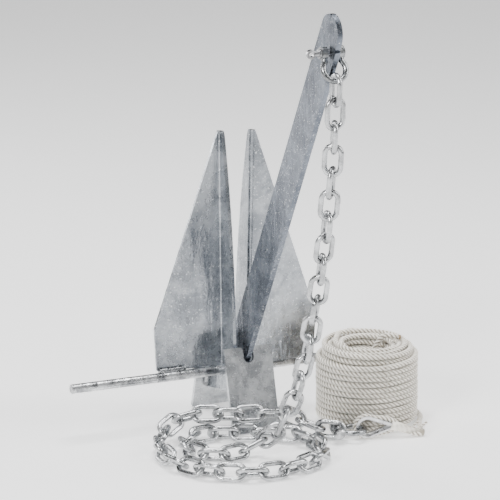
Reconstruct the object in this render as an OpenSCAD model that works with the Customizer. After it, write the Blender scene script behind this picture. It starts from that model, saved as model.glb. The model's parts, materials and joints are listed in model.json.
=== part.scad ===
// Boat anchor with two swinging flukes, lead chain, shackles and a coil of laid rope.
// Millimetres. +Z is up, X runs along the stock, and the shank leans towards -Y at rest.

/* [Stock] */
// Diameter of the round stock that the shank turns on
stock_d = 12; // [10:0.5:16]
// Length of the stock from end to end
stock_len = 432; // [320:1:560]
// Width of the bevel round each end of the stock
stock_bevel = 0.8; // [0.2:0.1:2]

/* [Flukes] */
// Height of the fluke tips above the stock's axis
fluke_up = 300; // [220:1:380]
// Thickness of the fluke plate
fluke_t = 4; // [3:0.5:5]
// Distance from the middle plane to the fold, beside the stock
fold_foot = 11.5; // [9:0.5:16]
// Distance from the middle plane to the fold, at the tip
fold_tip = 16; // [14:0.5:24]
// Distance from the middle plane to the outer shoulder
shoulder_out = 105; // [80:1:130]
// Height of the outer shoulder above the stock's axis
shoulder_up = 60; // [40:1:80]
// Distance from the middle plane to the outer lower corner
corner_out = 102; // [78:1:128]
// Height of the fluke's lower edge above the stock's axis
fluke_foot = 3; // [2:0.5:5]
// Height of the outer lower corner above the stock's axis
corner_up = 7.5; // [5:0.5:12]
// Depth of the folded rib beside the stock
rib_depth = 38; // [32:1:40]
// Depth of the folded rib at the tip
rib_tip_depth = 10; // [7:0.5:14]
// Outer radius of the fold
fold_r = 6; // [5:0.5:8]
// Radius of the rounded tip
tip_r = 3.5; // [2.5:0.5:5]

/* [Crown] */
// Width of each palm
palm_w = 62; // [50:1:76]
// Thickness of each palm
palm_t = 5; // [4:0.5:7]
// Length of each palm down its slope
palm_len = 105; // [88:1:126]
// Slope of each palm from the vertical
palm_tilt = 16; // [12:0.5:20]
// Distance from the middle plane to the top of a palm's outer face
palm_out = 37; // [34:0.5:44]
// Height of the top of a palm above the stock's axis
palm_up = 38; // [30:1:46]
// Width of the notch that takes the shank
notch_w = 13; // [11:0.5:18]
// Depth of the notch, which sets how far the shank swings
notch_depth = 19.5; // [16:0.5:22]
// Radius of the flared lips of the notch
notch_lip_r = 4; // [2:0.5:5]
// Depth of the crown web below the stock on its short side
web_short = 17; // [14:1:24]
// Depth of the crown web below the stock on its long side
web_long = 37; // [28:1:46]

/* [Shank] */
// Thickness of the flat shank
shank_t = 6.5; // [5:0.5:9]
// Width of the flat shank
shank_w = 46; // [38:0.5:52]
// Length of the shank from the stock's axis to its tip
shank_len = 560; // [430:1:680]
// Distance from the tip to the eye
eye_back = 42; // [36:0.5:50]
// Distance from the shank's middle line to the eye
eye_offset = 9; // [8:0.5:11]
// Length of the stepped head
head_len = 31; // [26:0.5:34]
// Depth of the step in the front edge
head_step = 3; // [1:0.5:5]

/* [Shackles] */
// Thickness of the shackle's bar
shackle_bar = 6.5; // [5:0.5:8]
// Gap between the shackle's lugs
shackle_jaw = 14; // [12:0.5:16]
// Widest gap inside the bow
bow_gap = 21; // [17:0.5:24]
// Length inside the bow, from the middle of the pin
bow_inside = 30; // [28:0.5:34]
// Radius of a lug
lug_r = 7.5; // [6.5:0.5:9]
// Diameter of the shackle pin
pin_d = 8; // [6:0.5:8.5]
// Angle at which the head shackle stands off the shank
bow_tilt = 26; // [24:1:32]

/* [Chain] */
// Diameter of the chain's wire
wire_d = 6.2; // [5:0.1:6.6]
// Length inside a link
link_inside = 28; // [24:0.5:32]
// Width over a link
link_w = 25; // [22:0.5:28]

/* [Rope] */
// Diameter of the laid rope
rope_d = 7; // [6:0.5:8]
// Radius round the outside of the coil
coil_r = 63; // [50:1:66]
// Radius of the hole through the coil
coil_hole_r = 22; // [16:1:26]
// Height of the coil
coil_h = 105; // [70:1:120]
// Radius inside the thimble's round end
thimble_r = 8; // [7.5:0.5:10]
// Length from the middle of the thimble's round end to its point
thimble_len = 33; // [28:1:38]

/* [Hidden] */
hinge_clear = 0.08;   // round the stock, in the shank's pivot
pin_clear = 0.05;     // round a pin, in the shackle's lugs
eye_clear = 0.5;      // round the pin, in the shank's eye
stop_clear = 0.3;     // between the shank and the palm's notch
side_clear = 0.25;    // between a link and what it pulls on
taut_play = 0.4;      // least spare length inside a hanging link
slack_play = 1.6;     // least spare length inside a link on the floor
fine = 96;
smooth = 48;

// ---- places on the crown

function unit(v) = v / norm(v);
function mix(a, b, f) = a + (b - a) * f;

// Distance from the middle plane to a palm's inner face, at a height above the stock's axis
function palm_back(up) = palm_out - palm_t / cos(palm_tilt) + (palm_up - up) * tan(palm_tilt);

// Lowest edge of the palms, which the anchor stands on
axis_up = palm_len * cos(palm_tilt) + palm_t * sin(palm_tilt) - palm_up;
palm_reach = palm_out + palm_len * sin(palm_tilt);

// The shank's faces rest on the round floor of the notch, which sets its lean
notch_rest = notch_depth - notch_w / 2 + sqrt(pow(notch_w / 2, 2) - pow(shank_t / 2, 2));
rest_y = palm_out + notch_rest * sin(palm_tilt) - palm_t * cos(palm_tilt);
rest_z = palm_up - notch_rest * cos(palm_tilt) - palm_t * sin(palm_tilt);
lean = atan2(rest_y, rest_z) - asin((shank_w / 2 + stop_clear) / norm([rest_y, rest_z]));

// Directions along the shank and across it, towards its rear edge
along = [0, -sin(lean), cos(lean)];
across = [0, cos(lean), sin(lean)];
head_r = (shank_w - head_step) / 2;
eye_at = along * (shank_len - eye_back) - across * eye_offset;
head_centre = along * (shank_len - head_r) + across * (head_step / 2);
front_reach = -(head_centre[1] - head_r);

// The origin is on the floor, under the middle of the anchor's own box
middle_y = (palm_reach - front_reach) / 2;
floor_z = -axis_up;

// ---- the thimble, which stands on the rope that lies round it

thimble_wall = 1.2;
groove_r = rope_d / 2;
rope_ring_r = thimble_r + thimble_wall + groove_r;
thimble_up = rope_ring_r + rope_d / 2 + 0.2;
thimble_play = thimble_r - shackle_bar / 2 - side_clear;

// ---- the chain's route, from the head shackle's bow to the rode shackle's pin

bow_at = eye_at - [0, sin(bow_tilt), cos(bow_tilt)] * (bow_inside - side_clear);
landing = [-14, -160, floor_z + 36];
rode_pin_at = [78, -129, floor_z + max(link_w / 2 + 0.3, thimble_up - 0.9 * thimble_play)];
rode_turn = -14;
rode_dir = [cos(rode_turn), sin(rode_turn), 0];
chain_end = rode_pin_at + rode_dir * (pin_d / 2 + side_clear);
lie = floor_z + 10.8;
sag_power = 1.9;
drift_power = 12;

// The chain hangs in a slack curve: upright at the head, sloping in towards the anchor below
function hang(f) = [
    mix(bow_at[0], landing[0], pow(f, drift_power)),
    mix(bow_at[1], landing[1], pow(f, sag_power)),
    mix(bow_at[2], landing[2], f)];

floor_route = [
    [-26, -152, lie + 14], [-43, -149, lie + 4], [-65, -151, lie + 0.5], [-84, -151, lie],
    [-101, -140, lie], [-111, -121, lie], [-107, -94, lie], [-87, -74, lie], [-57, -72, lie],
    [-30, -84, lie], [-4, -94, lie], [20, -108, lie], [35, -130, lie], [39, -156, lie], [32, -186, lie],
    [11, -210, lie], [-20, -223, lie], [-56, -226, lie], [-94, -214, lie], [-124, -190, lie],
    [-141, -156, lie], [-145, -120, lie], [-137, -88, lie + 3], [-118, -63, lie + 11], [-90, -54, lie + 20],
    [-60, -62, lie + 21], [-32, -76, lie + 21], [-4, -84, lie + 21.5], [22, -90, lie + 19.5],
    [44, -99, lie + 9.5], [59, -112, lie + 3]];

hang_parts = 8;
chain_route = concat([for (i = [0:hang_parts]) hang(i / hang_parts)], floor_route, [chain_end]);

// A smooth curve through points, cut into short steps
function curve_point(a, b, c, d, f) =
    0.5 * (2 * b + (c - a) * f + (2 * a - 5 * b + 4 * c - d) * f * f + (3 * b - a - 3 * c + d) * f * f * f);
function curve(p, steps) = concat(
    [for (i = [0:len(p) - 2], k = [0:steps - 1])
        curve_point(p[max(i - 1, 0)], p[i], p[i + 1], p[min(i + 2, len(p) - 1)], k / steps)],
    [p[len(p) - 1]]);
function run_lengths(p) =
    [for (i = 0, s = 0; i < len(p); s = s + (i + 1 < len(p) ? norm(p[i + 1] - p[i]) : 0), i = i + 1) s];
function at_length(p, runs, s) = [for (i = [0:len(p) - 2])
    if (runs[i] <= s && s <= runs[i + 1]) mix(p[i], p[i + 1], (s - runs[i]) / (runs[i + 1] - runs[i]))][0];

route_steps = 8;
route_line = curve(chain_route, route_steps);
route_runs = run_lengths(route_line);
hang_len = route_runs[hang_parts * route_steps];
floor_len = route_runs[len(route_runs) - 1] - hang_len;
hanging_links = ceil(hang_len / (link_inside - taut_play));
floor_count = ceil(floor_len / (link_inside - slack_play));
link_count = hanging_links + floor_count;
tail_links = 4;
links_end = link_count - tail_links;
links_half = hanging_links + round((floor_count - tail_links) * 0.42);
function joint_run(i) = i < hanging_links ? i * hang_len / hanging_links :
    hang_len + (i - hanging_links) * floor_len / floor_count;
joints = [for (i = [0:link_count]) at_length(route_line, route_runs, min(joint_run(i), hang_len + floor_len - 0.001))];

// How far each link is turned about its own length: a slow twist while it hangs, then leaning on the
// floor, and upright where the last link takes the shackle pin
hang_twist = 40;
hang_twist_links = 6.3;
floor_turn = 45;
floor_sway = 7;
last_turn = 90 * (link_count % 2);
function link_turn(i) =
    i < hanging_links ? hang_twist * (1 - cos(360 * max(i - 0.5, 0) / hang_twist_links)) / 2 :
    i < hanging_links + 2 ? (i == hanging_links ? 7 : 30) :
    i < links_end ? floor_turn + floor_sway * sin(97 * i) :
    mix(floor_turn, last_turn, (i - links_end + 1) / tail_links);

// ---- the rope's route

coil_at = [145.5, -70.5];
thimble_lift = thimble_up - (rode_pin_at[2] - floor_z);
thimble_draw = sqrt(pow(thimble_play, 2) - pow(thimble_lift, 2));
thimble_mid = rode_pin_at + rode_dir * (bow_inside + shackle_bar / 2 + thimble_draw) + [0, 0, thimble_lift];
throat = thimble_len + 3;

// A point beside the thimble: out along it, and up
function beside(x, z) = thimble_mid + rode_dir * x + [0, 0, z];
eye_route = concat(
    [beside(throat, 4.2), beside(throat - 12, 8.6)],
    [for (a = [60:20:300]) beside(rope_ring_r * cos(a), rope_ring_r * sin(a))],
    [beside(throat - 12, -8.6), beside(throat, -5.6)]);

rope_lie = floor_z + rope_d / 2 + 0.1;
wrap_r = coil_r + rope_d / 2 + 0.3;
function round_coil(r, a) = [coil_at[0] + r * cos(a), coil_at[1] + r * sin(a), rope_lie];
lead_route = concat(
    [beside(throat + 16, -9), beside(throat + 32, -13)],
    [for (a = [-40:20:100]) round_coil(wrap_r, a)],
    [round_coil(wrap_r - 1.5, 120), round_coil(coil_r - rope_d / 2, 145)]);
rope_line = concat(curve(eye_route, 2), curve(concat([beside(throat, -5.6)], lead_route), 2));
splice_line = curve([beside(throat - 5, 0), beside(throat + 16, -7), beside(throat + 36, -12)], 4);

// ---- names

anchor_names = ["stock", "left_fluke", "right_fluke", "front_palm", "rear_palm", "left_fluke_weld",
    "right_fluke_weld", "front_palm_weld", "rear_palm_weld", "shank", "head_shackle", "head_pin"];
rode_names = ["inner_floor_chain", "outer_floor_chain", "tail_chain", "rode_shackle", "rode_pin",
    "thimble", "rope_splice", "rope_lead", "rope_coil"];
function hanging_name(i) = str("hanging_link_", i + 1);

// ---- shared shapes

// A flat outline drawn in Y and Z, made t thick about the middle plane
module upright_plate(t) rotate([90, 0, 90]) translate([0, 0, -t / 2]) linear_extrude(t) children();

// Everything is drawn round the stock's axis and set down here
module stand() translate([0, -middle_y, axis_up]) children();

// Turns a shape so that its Z runs along a, with its X as near to the vector x as it can be
module aim(a, x) {
    z = unit(a);
    u = unit(x - (x * z) * z);
    v = cross(z, u);
    multmatrix([[u[0], v[0], z[0], 0], [u[1], v[1], z[1], 0], [u[2], v[2], z[2], 0], [0, 0, 0, 1]]) children();
}

// A closed tube round a line of points
function tangent(p, i) = unit(p[min(i + 1, len(p) - 1)] - p[max(i - 1, 0)]);
function sides_of(p, start) = [for (i = 0, n = unit(start - (start * tangent(p, 0)) * tangent(p, 0));
    i < len(p);
    i = i + 1, n = i < len(p) ? unit(n - (n * tangent(p, i)) * tangent(p, i)) : n) n];
module tube(p, r, sides, start) {
    n = sides_of(p, start);
    rings = [for (i = [0:len(p) - 1], k = [0:sides - 1])
        p[i] + r[min(i, len(r) - 1)] * (n[i] * cos(360 * k / sides)
            + cross(tangent(p, i), n[i]) * sin(360 * k / sides))];
    last = (len(p) - 1) * sides;
    walls = [for (i = [0:len(p) - 2], k = [0:sides - 1])
        [i * sides + k, (i + 1) * sides + k, (i + 1) * sides + (k + 1) % sides, i * sides + (k + 1) % sides]];
    polyhedron(rings, concat(walls, [[for (k = [0:sides - 1]) k]], [[for (k = [sides - 1:-1:0]) last + k]]));
}

// A weld bead from a to b, with round ends
module weld_row(a, b, r) translate(a) aim(b - a, [0.1, 1, 0.2]) {
    cylinder(r = r, h = norm(b - a), $fn = 32);
    for (h = [0, norm(b - a)]) translate([0, 0, h]) sphere(r = r + 0.06, $fn = 32);
}

// ---- the anchor

// The bare ends beyond the flukes are dressed a little thinner than the middle
bare_from = corner_out + 2;
bare_cut = 0.25;
module stock() color("silver") stand() rotate([0, 90, 0]) {
    half = stock_len / 2;
    cylinder(r = stock_d / 2, h = 2 * bare_from, center = true, $fn = fine);
    for (s = [0, 1]) mirror([0, 0, s]) {
        translate([0, 0, bare_from - 1])
            cylinder(r = stock_d / 2 - bare_cut, h = half - stock_bevel - bare_from + 1, $fn = fine);
        translate([0, 0, half - stock_bevel])
            cylinder(r1 = stock_d / 2 - bare_cut, r2 = stock_d / 2 - bare_cut - stock_bevel, h = stock_bevel, $fn = fine);
    }
}

// The right fluke lies against the front of the stock, and its rib is folded to the rear
fold_lean = atan((fold_tip - fold_foot) / fluke_up);
plate_front = -stock_d / 2 - fluke_t / 2;
function on_plate(out, up) = [
    (out - fold_foot) * cos(fold_lean) - up * sin(fold_lean),
    (out - fold_foot) * sin(fold_lean) + up * cos(fold_lean)];

module fold_section(width, depth) {
    translate([fold_r, 0]) square([width, fluke_t]);
    translate([0, fold_r]) square([fluke_t, depth]);
    intersection() {
        translate([fold_r, fold_r]) difference() {
            circle(r = fold_r, $fn = fine);
            circle(r = fold_r - fluke_t, $fn = fine);
        }
        square(fold_r);
    }
}

module plate_outline() {
    top = fluke_up / cos(fold_lean);
    shoulder = on_plate(shoulder_out, shoulder_up);
    corner = on_plate(corner_out, corner_up);
    slant = atan2(shoulder[0] - tip_r, top - shoulder[1]);
    polygon([on_plate(fold_foot, fluke_foot), corner, shoulder,
        [tip_r * (1 + cos(slant)), top - tip_r * (1 - sin(slant))], [tip_r, top - tip_r], [0, top - tip_r]]);
    translate([tip_r, top - tip_r]) circle(r = tip_r, $fn = smooth);
}

// The rib's free edge is a long arc, upright beside the stock and closing in towards the tip
module rib_outline() {
    top = fluke_up / cos(fold_lean);
    from = palm_up + 2;
    arc_r = pow(top - from, 2) / (2 * (rib_depth - rib_tip_depth));
    intersection() {
        translate([0, from]) square([rib_depth, top - from]);
        translate([rib_depth - arc_r, from]) circle(r = arc_r, $fn = 256);
        union() {
            translate([0, from]) square([rib_depth, top - tip_r - from]);
            translate([0, from]) square([rib_tip_depth - tip_r, top - from]);
            translate([rib_tip_depth - tip_r, top - tip_r]) circle(r = tip_r, $fn = smooth);
        }
    }
}

// The crown web: below the rib it carries on past the stock to the foot of the other palm
module web_outline() polygon([[plate_front + rib_depth, palm_up + 2.01],
    [palm_back(palm_up - 4), palm_up - 4], [palm_back(-web_short), -web_short],
    [-palm_back(-web_long), -web_long], [-palm_back(-6), -6], [-stock_d, -fluke_t], [plate_front + fold_r, fluke_foot],
    [plate_front + fold_r, palm_up + 2.01]]);

module right_side() difference() {
    translate([fold_foot, 0, 0]) rotate([0, fold_lean, 0]) {
        translate([0, plate_front, 0]) intersection() {
            linear_extrude(fluke_up * 1.2) fold_section(shoulder_out, rib_depth);
            union() {
                translate([0, fold_r, 0]) rotate([90, 0, 0]) linear_extrude(fold_r + 1) plate_outline();
                translate([-1, 0, 0]) rotate([90, 0, 90]) linear_extrude(fold_r + 1) rib_outline();
            }
        }
        translate([fluke_t / 2, 0, 0]) upright_plate(fluke_t) web_outline();
    }
    rotate([0, 90, 0]) cylinder(r = stock_d / 2, h = stock_len, center = true, $fn = fine);
}

module right_fluke() color("lightgray") stand() right_side();
module left_fluke() color("lightgray") stand() rotate([0, 0, 180]) right_side();

module palm_outline() {
    half = notch_w / 2;
    lip = half + notch_lip_r;
    difference() {
        translate([-palm_w / 2, -palm_len]) square([palm_w, palm_len]);
        translate([0, half - notch_depth]) circle(r = half, $fn = fine);
        translate([-half, half - notch_depth]) square([notch_w, notch_depth]);
        for (s = [0, 1]) mirror([s, 0]) difference() {
            translate([0, -notch_lip_r]) square([lip, notch_lip_r + 1]);
            translate([lip, -notch_lip_r]) circle(r = notch_lip_r, $fn = smooth);
        }
    }
}

module palm() translate([0, -palm_out, palm_up]) rotate([90 - palm_tilt, 0, 0])
    translate([0, 0, -palm_t]) linear_extrude(palm_t) palm_outline();

module front_palm() color("silver") stand() palm();
module rear_palm() color("silver") stand() rotate([0, 0, 180]) palm();

// The beads that hold a fluke's foot to the stock
bead_r = 3.6;
bead_len = 34;
module fluke_beads() {
    y = -stock_d / 2 + fluke_t / 2 + bead_r * 0.4;
    z = stock_d / 2 + bead_r * 0.2;
    weld_row([corner_out - 2, y, z], [corner_out - 2 - bead_len, y, z], bead_r);
}
module right_fluke_weld() color("gray") stand() fluke_beads();
module left_fluke_weld() color("gray") stand() rotate([0, 0, 180]) fluke_beads();

// The beads between a palm's inner face and the two crown webs
module palm_beads() {
    out = fold_foot + fluke_t;
    for (s = [-1, 1]) {
        low = s < 0 ? -web_short + 3 : -web_long + 3;
        weld_row([s * (out + bead_r * 0.3), -palm_back(low) + bead_r * 0.3, low],
            [s * (out + bead_r * 0.3), -palm_back(low + 13) + bead_r * 0.3, low + 13], bead_r);
    }
}
module front_palm_weld() color("gray") stand() palm_beads();
module rear_palm_weld() color("gray") stand() rotate([0, 0, 180]) palm_beads();

module shank_outline() difference() {
    union() {
        circle(r = shank_w / 2, $fn = fine);
        translate([-shank_w / 2, 0]) square([shank_w, shank_len - head_len]);
        translate([head_step - shank_w / 2, 0]) square([2 * head_r, shank_len - head_r]);
        translate([head_step / 2, shank_len - head_r]) circle(r = head_r, $fn = fine);
    }
    circle(r = stock_d / 2 + hinge_clear, $fn = fine);
    translate([-eye_offset, shank_len - eye_back]) circle(r = pin_d / 2 + eye_clear, $fn = fine);
}
module shank() color("silver") stand() rotate([lean, 0, 0]) upright_plate(shank_t) shank_outline();

// ---- shackles: the pin lies along X and the bow hangs towards -Z

bow_r = (bow_gap + shackle_bar) / 2;
lug_x = (shackle_jaw + shackle_bar) / 2;
bow_drop = bow_inside - bow_gap / 2;
neck = sqrt(bow_r * bow_r - lug_x * lug_x);
lug_t = shackle_bar + 0.6;

module shackle() difference() {
    union() {
        open = asin(neck / bow_r);
        translate([0, 0, -bow_drop]) rotate([90, open - 180, 0]) rotate_extrude(angle = 180 + 2 * open, $fn = fine)
            translate([bow_r, 0]) circle(r = shackle_bar / 2, $fn = smooth);
        for (s = [-1, 1]) translate([s * lug_x, 0, 0]) {
            translate([0, 0, neck - bow_drop]) sphere(r = shackle_bar / 2 + 0.08, $fn = smooth);
            translate([0, 0, neck - bow_drop]) cylinder(r = shackle_bar / 2, h = bow_drop - neck, $fn = smooth);
            rotate([0, 90, 0]) cylinder(r = lug_r, h = lug_t, center = true, $fn = fine);
        }
    }
    rotate([0, 90, 0]) cylinder(r = pin_d / 2 + pin_clear, h = 4 * shackle_jaw, center = true, $fn = fine);
}

pin_half = lug_x + lug_t / 2;
module pin_bar() rotate([0, 90, 0])
    translate([0, 0, -pin_half - 0.4]) cylinder(r = pin_d / 2, h = 2 * pin_half + 2.4, $fn = fine);

collar_t = 2;
collar_neck = 5;
ring_r = 5.5;
ring_hole_r = 2.6;
ring_at = pin_half + 0.3 + collar_t + collar_neck + ring_r - 1;
module ring_pin() difference() {
    union() {
        pin_bar();
        translate([-pin_half - 0.3 - collar_t, 0, 0]) rotate([0, 90, 0])
            cylinder(r = pin_d / 2 + 1.5, h = collar_t, $fn = fine);
        translate([-ring_at, 0, 0]) rotate([0, 90, 0])
            cylinder(r = pin_d / 2 - 0.6, h = ring_at - pin_half - 1, $fn = fine);
        translate([-ring_at, 0, 0]) rotate([90, 0, 0]) cylinder(r = ring_r, h = 4, center = true, $fn = fine);
    }
    translate([-ring_at, 0, 0]) rotate([90, 0, 0]) cylinder(r = ring_hole_r, h = 8, center = true, $fn = smooth);
}

round_head_r = 6.5;
round_head_t = 4;
module round_pin() {
    pin_bar();
    translate([-pin_half - 0.3 - round_head_t, 0, 0]) rotate([0, 90, 0]) {
        translate([0, 0, 1.5]) cylinder(r = round_head_r, h = round_head_t - 1.5, $fn = fine);
        cylinder(r1 = round_head_r - 1.5, r2 = round_head_r, h = 1.5, $fn = fine);
    }
}

module head_shackle() color("gray") stand() translate(eye_at) rotate([-bow_tilt, 0, 0]) shackle();
module head_pin() color("silver") stand() translate(eye_at) ring_pin();

// The rode shackle lies flat, with its pin across the chain and its bow in the thimble
module at_rode() stand() translate(rode_pin_at) rotate([0, 0, rode_turn - 90]) rotate([90, 0, 0]) children();
module rode_shackle() color("gray") at_rode() shackle();
module rode_pin() color("silver") at_rode() mirror([1, 0, 0]) round_pin();

// ---- the chain

module link() {
    r = (link_w - wire_d) / 2;
    straight = link_inside + wire_d - 2 * r;
    for (s = [0, 1]) mirror([0, 0, s]) translate([0, 0, straight / 2]) rotate([90, 0, 0])
        rotate_extrude(angle = 180, $fn = smooth) translate([r, 0]) circle(r = wire_d / 2, $fn = smooth);
    for (s = [-1, 1]) translate([s * r, 0, 0])
        cylinder(r = wire_d / 2, h = straight, center = true, $fn = smooth);
}

module placed_link(i) {
    a = unit(joints[i + 1] - joints[i]);
    near = abs(a[2]) > 0.7 ? [1, 0, 0] : [0, 0, -1];
    translate((joints[i] + joints[i + 1]) / 2) aim(a, near) rotate([0, 0, 90 * (i + 1) + link_turn(i)]) link();
}
module hanging_link(i) color("gray") stand() placed_link(i);
module floor_links(first, last) color("silver") stand() for (i = [first:last]) placed_link(i);
module inner_floor_chain() floor_links(hanging_links, links_half - 1);
module outer_floor_chain() floor_links(links_half, links_end - 1);
module tail_chain() floor_links(links_end, link_count - 1);

// ---- thimble and rope

// A thin channel, open to the outside, bent round the eye and closed to a point
module channel() translate([rope_ring_r, 0]) difference() {
    circle(r = groove_r + thimble_wall, $fn = smooth);
    circle(r = groove_r, $fn = smooth);
    translate([groove_r * 0.35, -2 * rope_d]) square(4 * rope_d);
}

module thimble() color("silver") stand() translate(thimble_mid) rotate([0, 0, rode_turn]) rotate([90, 0, 0]) {
    slope = asin(rope_ring_r / (thimble_len + rope_ring_r * 0.35));
    rotate([0, 0, 90 - slope]) rotate_extrude(angle = 180 + 2 * slope, $fn = fine) channel();
    intersection() {
        for (s = [0, 1]) mirror([0, s, 0]) rotate([0, 0, 90 - slope]) rotate([90, 0, 0])
            linear_extrude(thimble_len) channel();
        translate([0, -rope_ring_r - rope_d, -rope_d])
            cube([thimble_len, 2 * (rope_ring_r + rope_d), 2 * rope_d]);
    }
}

module rope_splice() color("ivory") stand()
    tube(splice_line, [for (i = [0:len(splice_line) - 1]) mix(6.2, 4.4, i / (len(splice_line) - 1))], 12, [0, 0, 1]);
module rope_lead() color("ivory") stand() tube(rope_line, [rope_d / 2], 10, [0, 1, 0]);

coil_round = 18;
coil_base = 9;
module rope_coil() color("ivory") stand()
    translate([coil_at[0], coil_at[1], floor_z]) rotate_extrude($fn = fine) {
        width = coil_r - coil_hole_r;
        base = coil_base;
        translate([coil_hole_r, base]) square([width, coil_h - coil_round - base]);
        translate([coil_hole_r + base, 0]) square([width - 2 * base, base + 1]);
        translate([coil_hole_r + coil_round, 0]) square([width - 2 * coil_round, coil_h]);
        for (x = [coil_hole_r + coil_round, coil_r - coil_round])
            translate([x, coil_h - coil_round]) circle(r = coil_round, $fn = smooth);
        for (x = [coil_hole_r + base, coil_r - base]) translate([x, base]) circle(r = base, $fn = smooth);
    }

// ---- output

stock();
left_fluke();
right_fluke();
front_palm();
rear_palm();
left_fluke_weld();
right_fluke_weld();
front_palm_weld();
rear_palm_weld();
shank();
head_shackle();
head_pin();
for (i = [0:hanging_links - 1]) hanging_link(i);
inner_floor_chain();
outer_floor_chain();
tail_chain();
rode_shackle();
rode_pin();
thimble();
rope_splice();
rope_lead();
rope_coil();
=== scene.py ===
import bpy
import bmesh
import json
from math import atan2, cos, floor, pi, radians, sin, sqrt
from mathutils import Matrix, Vector


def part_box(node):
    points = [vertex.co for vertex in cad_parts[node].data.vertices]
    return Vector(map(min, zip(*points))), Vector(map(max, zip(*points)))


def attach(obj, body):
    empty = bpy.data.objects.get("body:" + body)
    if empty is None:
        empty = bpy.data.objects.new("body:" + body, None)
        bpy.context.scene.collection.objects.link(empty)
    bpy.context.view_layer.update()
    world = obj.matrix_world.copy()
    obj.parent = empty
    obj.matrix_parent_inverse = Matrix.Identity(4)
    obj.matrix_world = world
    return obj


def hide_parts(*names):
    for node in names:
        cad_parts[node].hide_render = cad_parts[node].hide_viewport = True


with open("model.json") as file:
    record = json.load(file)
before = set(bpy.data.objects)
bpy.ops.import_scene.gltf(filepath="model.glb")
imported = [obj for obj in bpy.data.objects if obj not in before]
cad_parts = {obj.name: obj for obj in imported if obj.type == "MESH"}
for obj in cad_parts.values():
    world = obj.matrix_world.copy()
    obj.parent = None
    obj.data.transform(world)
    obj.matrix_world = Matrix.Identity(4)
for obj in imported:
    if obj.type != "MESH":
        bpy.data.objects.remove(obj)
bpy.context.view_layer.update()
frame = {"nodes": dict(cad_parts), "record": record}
nodes = frame["nodes"]
scene = bpy.context.scene

MM = 0.001
stock_low, stock_high = (Vector(corner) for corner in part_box("stock"))
stock_mid = (stock_low + stock_high) / 2


def from_stock(x, y, z):
    """A point given in millimetres from the middle of the stock."""
    return stock_mid + Vector((x, y, z)) * MM


# ---- camera

def make_camera(azimuth, elevation, roll, distance, aim_out, aim_up, lens):
    """A camera that aims aim_out mm to the right of the stock's middle and aim_up mm over it."""
    away = Vector((-sin(azimuth) * cos(elevation), -cos(azimuth) * cos(elevation), sin(elevation)))
    place = from_stock(0, 0, 0) + away * distance
    aim = from_stock(aim_out * cos(azimuth), -aim_out * sin(azimuth), aim_up)
    data = bpy.data.cameras.new("camera")
    data.lens = lens
    data.sensor_width = 36
    data.clip_end = 40
    camera = bpy.data.objects.new("camera", data)
    scene.collection.objects.link(camera)
    turn = (aim - place).to_track_quat("-Z", "Y").to_matrix().to_4x4()
    camera.matrix_world = Matrix.Translation(place) @ turn @ Matrix.Rotation(roll, 4, "Z")
    scene.camera = camera


CAMERA_TURN = radians(23.949)
make_camera(CAMERA_TURN, radians(17.584), radians(0.27), 4.0, 17.506, 150.292, 234.4)
scene.render.resolution_x = 500
scene.render.resolution_y = 500


# ---- shared shapes

def steady(seed):
    """A number from 0 to 1 that looks random and is always the same for a seed."""
    value = sin(seed * 12.9898 + 4.1414) * 43758.5453
    return value - floor(value)


def smooth_line(points, steps):
    """A smooth curve through points, cut into steps between each two."""
    line = []
    last = len(points) - 1
    for i in range(last):
        a, b = points[max(i - 1, 0)], points[i]
        c, d = points[i + 1], points[min(i + 2, last)]
        for k in range(steps):
            f = k / steps
            line.append(0.5 * (2 * b + (c - a) * f + (2 * a - 5 * b + 4 * c - d) * f ** 2
                               + (3 * b - a - 3 * c + d) * f ** 3))
    line.append(points[-1])
    return line


def respace(line, spacing):
    """The same line with its points about spacing(point) apart."""
    out = [line[0]]
    carry = 0.0
    for a, b in zip(line, line[1:]):
        length = (b - a).length
        if length == 0:
            continue
        want = spacing(a)
        at = want - carry
        while at < length:
            out.append(a.lerp(b, at / length))
            at += want
        carry = length - (at - want)
    if (out[-1] - line[-1]).length > 0.0003:
        out.append(line[-1])
    return out


def line_length(line):
    return sum((b - a).length for a, b in zip(line, line[1:]))


def add_object(name, mesh, material, shaded=True):
    if shaded:
        mesh.polygons.foreach_set("use_smooth", [True] * len(mesh.polygons))
    mesh.update()
    piece = bpy.data.objects.new(name, mesh)
    scene.collection.objects.link(piece)
    piece.data.materials.append(material)
    return piece


GIRTH = 0.02


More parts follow.
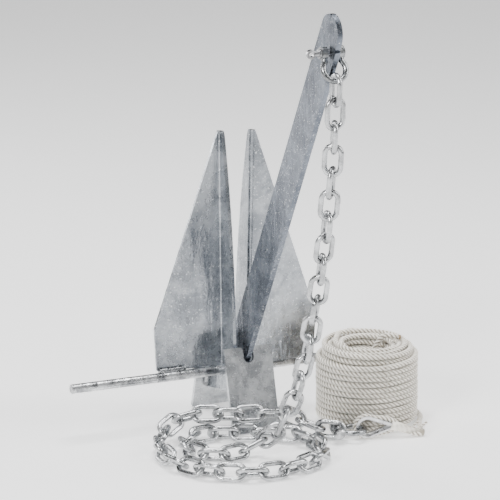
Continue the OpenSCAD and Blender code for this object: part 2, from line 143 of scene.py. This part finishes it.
def make_tube(name, line, radius, sides, material, start=Vector((0, 0, 1)), lay=None):
    """A closed tube round a line. radius(run, step, angle) gives its surface; lay twists it as it runs."""
    count = len(line)
    tangents = [(line[min(i + 1, count - 1)] - line[max(i - 1, 0)]).normalized() for i in range(count)]
    side = (start - start.dot(tangents[0]) * tangents[0]).normalized()
    verts, rows, heights, run = [], [], [], 0.0
    for i, (point, along) in enumerate(zip(line, tangents)):
        if i:
            run += (point - line[i - 1]).length
            side = (side - side.dot(along) * along).normalized()
        up = along.cross(side)
        twist = 2 * pi * run / lay if lay else 0
        for k in range(sides):
            angle = 2 * pi * k / sides
            out = side * cos(angle + twist) + up * sin(angle + twist)
            heights.append(radius(run, k, angle))
            verts.append(point + out * heights[-1])
        rows.append((run, twist))
    faces = []
    for i in range(count - 1):
        for k in range(sides):
            here, there, after = i * sides, (i + 1) * sides, (k + 1) % sides
            faces.append((here + k, here + after, there + after, there + k))
    faces.append(tuple(range(sides - 1, -1, -1)))
    faces.append(tuple((count - 1) * sides + k for k in range(sides)))
    mesh = bpy.data.meshes.new(name)
    mesh.from_pydata(verts, [], faces)
    layer = mesh.uv_layers.new(name="along")
    spots = []
    for i in range(count - 1):
        for k in range(sides):
            for j, m in ((i, k), (i, k + 1), (i + 1, k + 1), (i + 1, k)):
                run_here, twist_here = rows[j]
                spots += [run_here, (m / sides + twist_here / (2 * pi)) * GIRTH]
    spots += [0.0] * (4 * sides)
    layer.data.foreach_set("uv", spots)
    # How deep each point lies between the strands; the rope material paints shade from it.
    crest, root = max(heights), min(heights)
    groove_shade = mesh.attributes.new("groove_shade", "FLOAT", "POINT")
    groove_shade.data.foreach_set("value", [(crest - h) / max(crest - root, 1e-6) for h in heights])
    return add_object(name, mesh, material)


# ---- node groups and materials

def node_in(tree, kind, **settings):
    new = tree.nodes.new(kind)
    for name, value in settings.items():
        setattr(new, name, value)
    return new


def math_in(tree, operation, a, b=None, clamp=False):
    new = node_in(tree, "ShaderNodeMath", operation=operation, use_clamp=clamp)
    for socket, value in zip(new.inputs, (a, b)):
        if value is None:
            continue
        if isinstance(value, (int, float)):
            socket.default_value = value
        else:
            tree.links.new(value, socket)
    return new.outputs[0]


def noise_in(tree, vector, scale, detail=4.0, rough=0.5, warp=0.0):
    new = node_in(tree, "ShaderNodeTexNoise")
    tree.links.new(vector, new.inputs["Vector"])
    new.inputs["Scale"].default_value = scale
    new.inputs["Detail"].default_value = detail
    new.inputs["Roughness"].default_value = rough
    new.inputs["Distortion"].default_value = warp
    return new.outputs["Fac"]


def range_in(tree, value, low, high, to_low=0.0, to_high=1.0):
    new = node_in(tree, "ShaderNodeMapRange", interpolation_type="SMOOTHSTEP")
    tree.links.new(value, new.inputs["Value"])
    for name, number in (("From Min", low), ("From Max", high), ("To Min", to_low), ("To Max", to_high)):
        new.inputs[name].default_value = number
    return new.outputs["Result"]


def blend_in(tree, factor, a, b):
    """A mix of two colours. factor, a and b are sockets or plain values."""
    new = node_in(tree, "ShaderNodeMix", data_type="RGBA")
    sockets = [s for s in new.inputs if s.enabled]
    for socket, value in zip(sockets, (factor, a, b)):
        if isinstance(value, (int, float)):
            socket.default_value = value
        elif isinstance(value, tuple):
            socket.default_value = (*value, 1.0)
        else:
            tree.links.new(value, socket)
    return [s for s in new.outputs if s.enabled][0]


def new_group(name, inputs, outputs):
    tree = bpy.data.node_groups.new(name, "ShaderNodeTree")
    for label, kind, value in inputs:
        socket = tree.interface.new_socket(name=label, in_out="INPUT", socket_type=kind)
        if value is not None:
            socket.default_value = value
    for label, kind in outputs:
        tree.interface.new_socket(name=label, in_out="OUTPUT", socket_type=kind)
    return tree, tree.nodes.new("NodeGroupInput"), tree.nodes.new("NodeGroupOutput")


FLOAT, COLOUR, VECTOR = "NodeSocketFloat", "NodeSocketColor", "NodeSocketVector"


def zinc_group():
    """Hot-dip zinc: broad mottling, frosted spangle, runs and small bright and dull specks."""
    tree, given, made = new_group(
        "zinc coat",
        [("Place", VECTOR, None),
         ("Dark", COLOUR, (0.2, 0.21, 0.22, 1)), ("Light", COLOUR, (0.7, 0.7, 0.7, 1)),
         ("Mottle Size", FLOAT, 30.0), ("Speck Size", FLOAT, 380.0), ("Wave", FLOAT, 0.4)],
        [("Colour", COLOUR), ("Roughness", FLOAT), ("Normal", VECTOR)])
    link = tree.links.new
    place = given.outputs["Place"]

    def scaled(factor):
        new = node_in(tree, "ShaderNodeVectorMath", operation="SCALE")
        link(place, new.inputs[0])
        link(factor, new.inputs["Scale"])
        return new.outputs[0]

    broad = noise_in(tree, scaled(given.outputs["Mottle Size"]), 1.0, 5.0, 0.6, 0.25)
    specks = noise_in(tree, scaled(given.outputs["Speck Size"]), 1.0, 3.0, 0.6, 0.2)
    cells = node_in(tree, "ShaderNodeTexVoronoi", feature="F1")
    cells.inputs["Scale"].default_value = 170.0
    link(place, cells.inputs["Vector"])
    spangle = node_in(tree, "ShaderNodeSeparateColor")
    link(cells.outputs["Color"], spangle.inputs[0])
    streaks = node_in(tree, "ShaderNodeMapping")
    streaks.inputs["Scale"].default_value = (1.0, 1.0, 0.22)
    link(place, streaks.inputs["Vector"])
    runs = noise_in(tree, streaks.outputs[0], 75.0, 3.0, 0.55, 0.4)
    mottle = range_in(tree, broad, 0.34, 0.66)
    crystals = math_in(tree, "MULTIPLY", math_in(tree, "SUBTRACT", spangle.outputs[0], 0.5), 0.22)
    drips = math_in(tree, "MULTIPLY", math_in(tree, "SUBTRACT", runs, 0.5), 0.5)
    mottle = math_in(tree, "ADD", math_in(tree, "ADD", mottle, crystals), drips, True)
    colour = blend_in(tree, mottle, given.outputs["Dark"], given.outputs["Light"])
    colour = blend_in(tree, range_in(tree, specks, 0.62, 0.7, 0.0, 0.75), colour, (0.86, 0.87, 0.88))
    colour = blend_in(tree, range_in(tree, specks, 0.36, 0.27, 0.0, 0.45), colour, (0.16, 0.17, 0.18))
    link(colour, made.inputs["Colour"])
    frosting = math_in(tree, "MULTIPLY", spangle.outputs[1], 0.1)
    rough = math_in(tree, "ADD", range_in(tree, broad, 0.3, 0.7, 0.17, 0.27), frosting)
    link(rough, made.inputs["Roughness"])
    height = math_in(tree, "ADD", runs, math_in(tree, "MULTIPLY", specks, 0.12))
    bump = node_in(tree, "ShaderNodeBump")
    bump.inputs["Distance"].default_value = 0.0016
    link(given.outputs["Wave"], bump.inputs["Strength"])
    link(height, bump.inputs["Height"])
    link(bump.outputs[0], made.inputs["Normal"])
    return tree


def fibre_group():
    """Fibres of a laid rope: fine yarns nearly along the rope, painted shade between its strands, a little
    soiled.
    """
    tree, given, made = new_group(
        "rope yarns",
        [("Run", VECTOR, None), ("Place", VECTOR, None), ("Groove Shade", FLOAT, 0.0),
         ("Clean", COLOUR, (0.8, 0.78, 0.7, 1)),
         ("Shade", COLOUR, (0.5, 0.47, 0.4, 1)), ("Depth", FLOAT, 0.5)],
        [("Colour", COLOUR), ("Normal", VECTOR)])
    link = tree.links.new
    stretch = node_in(tree, "ShaderNodeMapping")
    stretch.inputs["Scale"].default_value = (130.0, 2400.0, 1.0)
    link(given.outputs["Run"], stretch.inputs["Vector"])
    yarns = noise_in(tree, stretch.outputs[0], 1.0, 2.0, 0.5, 0.15)
    soil = noise_in(tree, given.outputs["Place"], 38.0, 5.0, 0.6, 0.3)
    colour = blend_in(tree, range_in(tree, yarns, 0.3, 0.62, 0.55, 1.0), given.outputs["Shade"],
                      given.outputs["Clean"])
    colour = blend_in(tree, range_in(tree, soil, 0.58, 0.78, 0.0, 0.22), colour, (0.62, 0.58, 0.5))
    # Painted shade: the colour darkens towards brown-black deep in the grooves between the strands.
    shadow = range_in(tree, given.outputs["Groove Shade"], 0.25, 0.95, 0.0, 0.85)
    colour = blend_in(tree, shadow, colour, (0.2, 0.17, 0.12))
    link(colour, made.inputs["Colour"])
    bump = node_in(tree, "ShaderNodeBump")
    bump.inputs["Distance"].default_value = 0.0005
    link(given.outputs["Depth"], bump.inputs["Strength"])
    link(yarns, bump.inputs["Height"])
    link(bump.outputs[0], made.inputs["Normal"])
    return tree


ZINC = zinc_group()
FIBRE = fibre_group()


def new_material(name):
    material = bpy.data.materials.new(name)
    material.use_nodes = True
    return material, material.node_tree, material.node_tree.nodes["Principled BSDF"]


def zinc_material(name, dark, light, mottle, specks, wave):
    material, tree, shader = new_material(name)
    place = node_in(tree, "ShaderNodeTexCoord")
    coat = node_in(tree, "ShaderNodeGroup", node_tree=ZINC)
    tree.links.new(place.outputs["Object"], coat.inputs["Place"])
    coat.inputs["Dark"].default_value = (*dark, 1)
    coat.inputs["Light"].default_value = (*light, 1)
    coat.inputs["Mottle Size"].default_value = mottle
    coat.inputs["Speck Size"].default_value = specks
    coat.inputs["Wave"].default_value = wave
    shader.inputs["Metallic"].default_value = 1.0
    tree.links.new(coat.outputs["Colour"], shader.inputs["Base Color"])
    tree.links.new(coat.outputs["Roughness"], shader.inputs["Roughness"])
    tree.links.new(coat.outputs["Normal"], shader.inputs["Normal"])
    return material


def rope_material(name, clean, shade, depth):
    material, tree, shader = new_material(name)
    place = node_in(tree, "ShaderNodeTexCoord")
    run = node_in(tree, "ShaderNodeUVMap", uv_map="along")
    yarns = node_in(tree, "ShaderNodeGroup", node_tree=FIBRE)
    groove_shade = node_in(tree, "ShaderNodeAttribute", attribute_name="groove_shade")
    tree.links.new(run.outputs[0], yarns.inputs["Run"])
    tree.links.new(groove_shade.outputs["Fac"], yarns.inputs["Groove Shade"])
    tree.links.new(place.outputs["Object"], yarns.inputs["Place"])
    yarns.inputs["Clean"].default_value = (*clean, 1)
    yarns.inputs["Shade"].default_value = (*shade, 1)
    yarns.inputs["Depth"].default_value = depth
    shader.inputs["Roughness"].default_value = 0.75
    shader.inputs["Sheen Weight"].default_value = 0.25
    shader.inputs["Sheen Roughness"].default_value = 0.5
    tree.links.new(yarns.outputs["Colour"], shader.inputs["Base Color"])
    tree.links.new(yarns.outputs["Normal"], shader.inputs["Normal"])
    return material


def plain_material(name, colour, rough):
    material, tree, shader = new_material(name)
    place = node_in(tree, "ShaderNodeTexCoord")
    tone = noise_in(tree, place.outputs["Object"], 900.0, 3.0)
    low = tuple(c * 0.8 for c in colour)
    tree.links.new(blend_in(tree, tone, low, colour), shader.inputs["Base Color"])
    shader.inputs["Roughness"].default_value = rough
    return material


finishes = {
    "stock_zinc": zinc_material("stock zinc", (0.24, 0.245, 0.255), (0.74, 0.75, 0.76), 75, 520, 0.5),
    "plate_zinc": zinc_material("plate zinc", (0.20, 0.215, 0.235), (0.42, 0.44, 0.465), 22, 420, 0.8),
    "palm_zinc": zinc_material("palm zinc", (0.32, 0.335, 0.35), (0.60, 0.615, 0.63), 40, 430, 0.8),
    # Painted dark reflection: the shank's zinc is set far darker than the plates' to match the dark
    # reflections on its faces.
    "shank_zinc": zinc_material("shank zinc painted dark", (0.085, 0.097, 0.12), (0.19, 0.21, 0.245), 26, 480, 0.8),
    "weld_zinc": zinc_material("weld zinc", (0.12, 0.125, 0.13), (0.44, 0.45, 0.46), 140, 900, 0.7),
    "shackle_zinc": zinc_material("shackle zinc", (0.13, 0.135, 0.14), (0.4, 0.41, 0.42), 80, 900, 0.5),
    "pin_zinc": zinc_material("pin zinc", (0.22, 0.22, 0.225), (0.6, 0.6, 0.61), 80, 900, 0.4),
    "chain_zinc": zinc_material("chain zinc", (0.32, 0.325, 0.33), (0.56, 0.57, 0.58), 60, 950, 0.5),
    "thimble_steel": zinc_material("thimble steel", (0.4, 0.4, 0.405), (0.7, 0.7, 0.7), 60, 800, 0.3),
    "rope": rope_material("laid rope", (0.95, 0.915, 0.84), (0.62, 0.56, 0.45), 0.7),
}
for part in frame["record"]["subparts"]:
    surface = nodes[part["node"]]
    surface.data.materials.clear()
    surface.data.materials.append(finishes[part["material_slot"]])


# ---- the rope: splice, eye round the thimble, lead to the coil, coil and free end

LAY = 0.0165
FLOOR_Z = -64.311
RODE_TURN = radians(-14)
LAST_LINK_UP = 12.8
thimble_r, thimble_wall, bow_inside, shackle_bar = 8.0, 1.2, 29.0, 6.5
ring_r = thimble_r + thimble_wall + 3.5
thimble_up = ring_r + 3.7
play = thimble_r - shackle_bar / 2 - 0.25
pin_up = max(LAST_LINK_UP, thimble_up - 0.9 * play)
lift = thimble_up - pin_up
draw = sqrt(play ** 2 - lift ** 2)
rode_dir = Vector((cos(RODE_TURN), sin(RODE_TURN), 0))
thimble_mid = Vector((78, -129, FLOOR_Z + pin_up)) + rode_dir * (bow_inside + shackle_bar / 2 + draw)
thimble_mid.z += lift
throat = 36.0


def beside(x, z):
    """A point beside the thimble: out along it, and up."""
    spot = thimble_mid + rode_dir * x
    return from_stock(spot.x, spot.y, spot.z + z)


coil_x, coil_y, coil_r, coil_hole_r = 145.5, -70.5, 63.0, 22.0
rope_lie = 3.6


def round_coil(r, angle, up):
    return from_stock(coil_x + r * cos(angle), coil_y + r * sin(angle), FLOOR_Z + up)


eye = [beside(throat, 4.2), beside(throat - 12, 8.6)]
eye += [beside(ring_r * cos(radians(a)), ring_r * sin(radians(a))) for a in range(60, 301, 20)]
eye += [beside(throat - 12, -8.6), beside(throat, -5.6)]
lead = [beside(throat + 16, -9), beside(throat + 32, -13)]
lead += [round_coil(coil_r + 3.8, radians(a), rope_lie) for a in range(-40, 101, 20)]
lead += [round_coil(coil_r + 2.3, radians(120), rope_lie), round_coil(coil_r - 3.0, radians(142), rope_lie)]

# Six layers of turns, laid up and down in turn, under a rounded shoulder
LAYERS = 6
ROW = 7.05
layer_gap = (coil_r - coil_hole_r - 7.0) / (LAYERS - 1)


def layer_ends(r):
    """The lowest and highest middle of the rope in a layer of radius r."""
    low = 4.0 if 34.5 < r < 50.5 else 6.5
    shoulder = 14.5
    if r > 45:
        high = 87 + sqrt(max(shoulder ** 2 - (r - 45) ** 2, 0))
    elif r < 40:
        high = 87 + sqrt(max(shoulder ** 2 - (40 - r) ** 2, 0))
    else:
        high = 101.5
    return low, high


STEPS_A_TURN = 40
TO_THE_BACK = 28
turns = []
angle = radians(160)
for layer in range(LAYERS):
    r = coil_r - 3.5 - layer * layer_gap
    low, high = layer_ends(r)
    rising = layer % 2 == 0
    count = round((high - low) / ROW)
    steps = count * STEPS_A_TURN + (TO_THE_BACK if layer == 0 else 0)
    for k in range(steps + 1):
        f = k / steps
        up = low + (high - low) * (f if rising else 1 - f)
        swell = 0.55 * sin(3.1 * angle + layer) + 0.35 * sin(7.7 * angle + 2 * layer)
        sway = 0.35 * sin(2.3 * angle + 1.7 * layer)
        turns.append(round_coil(r + 0.6 * swell * (1 if layer in (0, LAYERS - 1) else 0.6), angle, up + sway))
        angle += 2 * pi / STEPS_A_TURN
    angle += radians(22)

# The free end comes up through the middle and lies over the edge
tail = [round_coil(15.5, angle + radians(20), 14), round_coil(14, angle + radians(100), 30),
        round_coil(13, radians(40), 56), round_coil(12, radians(25), 80), round_coil(15, radians(10), 96),
        round_coil(22, radians(-6), 105.5), round_coil(31, radians(-14), 106),
        round_coil(39, radians(-18), 105)]
lead_line = smooth_line(eye + lead, 8)
rope_line = lead_line[:-1] + smooth_line([lead_line[-1]] + turns[4:] + tail, 3)


def ring_spacing(point):
    """Close rings where the rope shows, wider ones inside the coil."""
    local = (point - stock_mid) / MM
    out = sqrt((local.x - coil_x) ** 2 + (local.y - coil_y) ** 2)
    up = local.z - FLOOR_Z
    shows = out > coil_r - 6.0 or up > 72 or out < coil_hole_r + 5.5 and up > 50
    return 0.0014 if shows else 0.0042


def strand_radius(run, step, around):
    """The surface of three strands laid together."""
    third = 2 * pi / 3
    off = (around + third / 2) % third - third / 2
    spread, thick = 0.00165, 0.00185
    return spread * cos(off) + sqrt(thick ** 2 - (spread * sin(off)) ** 2)


rope_path = respace(rope_line, ring_spacing)
rope = make_tube("rope", rope_path, strand_radius, 15, finishes["rope"], Vector((0, 1, 0)), LAY)
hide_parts("rope_coil", "rope_lead")
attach(rope, "crown")

end_dir = (rope_path[-1] - rope_path[-4]).normalized()
cap_line = [rope_path[-1] - end_dir * 0.001 + end_dir * 0.0004 * i for i in range(11)]
sealed = plain_material("melted rope end", (0.30, 0.22, 0.13), 0.4)


def cap_radius(run, step, around):
    f = min(run / 0.004, 1.0)
    return 0.0031 * sqrt(max(1 - f ** 3, 0.02)) * (1 + 0.04 * sin(3 * around))


rope_end = make_tube("sealed_rope_end", cap_line, cap_radius, 18, sealed)
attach(rope_end, "crown")

# The splice: the rope's own strands tucked back under each other, then tapered away
splice_points = [beside(throat - 5, 0), beside(throat + 16, -7), beside(throat + 36, -12)]
splice_line = respace(smooth_line(splice_points, 40), lambda point: 0.0009)
splice_length = line_length(splice_line)


def splice_radius(run, step, around):
    f = run / splice_length
    tucks = 0.5 + 0.5 * sin(3 * around + 2 * pi * run / 0.0125)
    crossing = 0.5 + 0.5 * sin(3 * around - 2 * pi * run / 0.0095 + 1.0)
    return (0.0054 - 0.0017 * f) + 0.00085 * tucks * (1 - 0.4 * f) + 0.0006 * crossing * (1 - 0.6 * f)


splice = make_tube("eye_splice", splice_line, splice_radius, 36, finishes["rope"], Vector((0, 0, 1)), 0.06)
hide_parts("rope_splice")
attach(splice, "crown")


def strand_tail(name, start, middle, end):
    """The tail of a last tucked strand, which stands off the splice."""
    line = respace(smooth_line([start, middle, end], 12), lambda point: 0.0006)
    piece = make_tube(name, line, lambda run, step, around: 0.0016 + 0.0002 * cos(2 * around), 10,
                      finishes["rope"], Vector((0, 0, 1)), 0.008)
    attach(piece, "crown")
    return piece


tails = [
    strand_tail("strand_tail_1", beside(throat + 30, -7), beside(throat + 35, -2.5), beside(throat + 40, 2)),
    strand_tail("strand_tail_2", beside(throat + 22, -4), beside(throat + 26, 0.5), beside(throat + 29, 2.5))]

# A thin tie round the rows of the coil
tie_angle = atan2(-cos(CAMERA_TURN), -sin(CAMERA_TURN)) + radians(20)
tie_points = [round_coil(50, tie_angle, 104.2), round_coil(56, tie_angle + 0.01, 101.8),
              round_coil(61.5, tie_angle, 96.0), round_coil(63.9, tie_angle - 0.005, 87),
              round_coil(64.2, tie_angle + 0.01, 76), round_coil(64.2, tie_angle + 0.005, 66),
              round_coil(64.1, tie_angle, 57), round_coil(61.0, tie_angle, 53.5)]
tie_line = respace(smooth_line(tie_points, 8), lambda point: 0.0008)
tie = make_tube("coil_tie", tie_line, lambda run, step, around: 0.00065 * (1 + 0.12 * cos(2 * around)), 10,
                finishes["rope"], Vector((1, 0, 0)), 0.003)
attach(tie, "crown")
rope_length = line_length(rope_path)
tuple(rope_path[0])
[tuple(point) for point in rope_path]


# ---- weld beads, with the ripples that the electrode leaves

BEAD_R = 0.0036
RIPPLE = 0.0021


def bead_line(points):
    """A line along a bead's own points, from one bead's radius inside one end to the same at the other."""
    axis = max(range(3), key=lambda i: max(p[i] for p in points) - min(p[i] for p in points))
    low = min(p[axis] for p in points)
    high = max(p[axis] for p in points)
    ends = []
    for edge in (low, high):
        near = [p for p in points if abs(p[axis] - edge) < BEAD_R * 1.6]
        mid = sum(near, Vector()) / len(near)
        mid[axis] = edge + (BEAD_R if edge == low else -BEAD_R)
        ends.append(mid)
    return ends


def ripple_bead(name, points, seed):
    a, b = bead_line(points)
    steps = int((b - a).length / 0.0004)
    line = [a.lerp(b, k / steps) for k in range(steps + 1)]

    def radius(run, step, around):
        wobble = 0.35 * sin(pi * abs(((around / pi) % 2) - 1))
        ripple = abs(sin(pi * (run / RIPPLE + wobble)))
        count = floor(run / RIPPLE)
        return BEAD_R * (0.94 + 0.12 * ripple + 0.07 * steady(count + seed))

    first = Vector((0.1, 0.2, 1)) if abs(b.x - a.x) > abs(b.z - a.z) else Vector((1, 0.1, 0))
    bead = make_tube(name, line, radius, 28, finishes["weld_zinc"], first)
    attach(bead, "crown")
    return bead


for node in ("left_fluke_weld", "right_fluke_weld", "front_palm_weld", "rear_palm_weld"):
    points = [v.co.copy() for v in nodes[node].data.vertices]
    sides = [[p for p in points if p.x < 0], [p for p in points if p.x > 0]]
    for i, group in enumerate([points] if "fluke" in node else sides):
        bead = ripple_bead(f"{node}_bead_{i + 1}", group, 7 * i + len(node))
        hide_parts(node)


# ---- floor and light

def area_light(name, spot, aim, size, power, colour=(1, 1, 1), size_y=None):
    data = bpy.data.lights.new(name, "AREA")
    data.shape = "RECTANGLE"
    data.size = size
    data.size_y = size_y or size
    data.energy = power
    data.color = colour
    lamp = bpy.data.objects.new(name, data)
    lamp.location = spot
    lamp.rotation_euler = (Vector(aim) - Vector(spot)).to_track_quat("-Z", "Y").to_euler()
    scene.collection.objects.link(lamp)


area_light("window to the left", (-1.7, -1.2, 1.3), (0, 0, 0.2), 0.6, 48)
area_light("window to the right", (1.7, -0.9, 1.3), (0, 0, 0.2), 0.4, 34, size_y=1.5)
area_light("top", (0.0, 0.2, 2.2), (0, 0, 0), 1.1, 60)
area_light("back strip", (-0.9, 1.8, 0.9), (0, 0, 0.3), 0.4, 18, size_y=1.3)

world = bpy.data.worlds.new("studio")
scene.world = world
world.use_nodes = True
background = world.node_tree.nodes["Background"]
background.inputs["Color"].default_value = (1, 1, 1, 1)
background.inputs["Strength"].default_value = 0.9
tree = world.node_tree
where = node_in(tree, "ShaderNodeTexCoord")
bands = noise_in(tree, where.outputs["Generated"], 2.6, 3.0, 0.5, 0.8)
tree.links.new(blend_in(tree, range_in(tree, bands, 0.49, 0.58), (0.01, 0.011, 0.013), (1.0, 1.0, 1.0)),
               background.inputs["Color"])

floor_mesh = bpy.data.meshes.new("floor")
shape = bmesh.new()
bmesh.ops.create_grid(shape, x_segments=1, y_segments=1, size=6)
shape.to_mesh(floor_mesh)
shape.free()
paper, tree, shader = new_material("pale studio floor")
shader.inputs["Base Color"].default_value = (0.9, 0.9, 0.9, 1)
shader.inputs["Roughness"].default_value = 0.9
shader.inputs["Emission Color"].default_value = (1, 1, 1, 1)
shader.inputs["Emission Strength"].default_value = 0.55
ground = add_object("floor", floor_mesh, paper, False)
ground.location.z = -0.0002
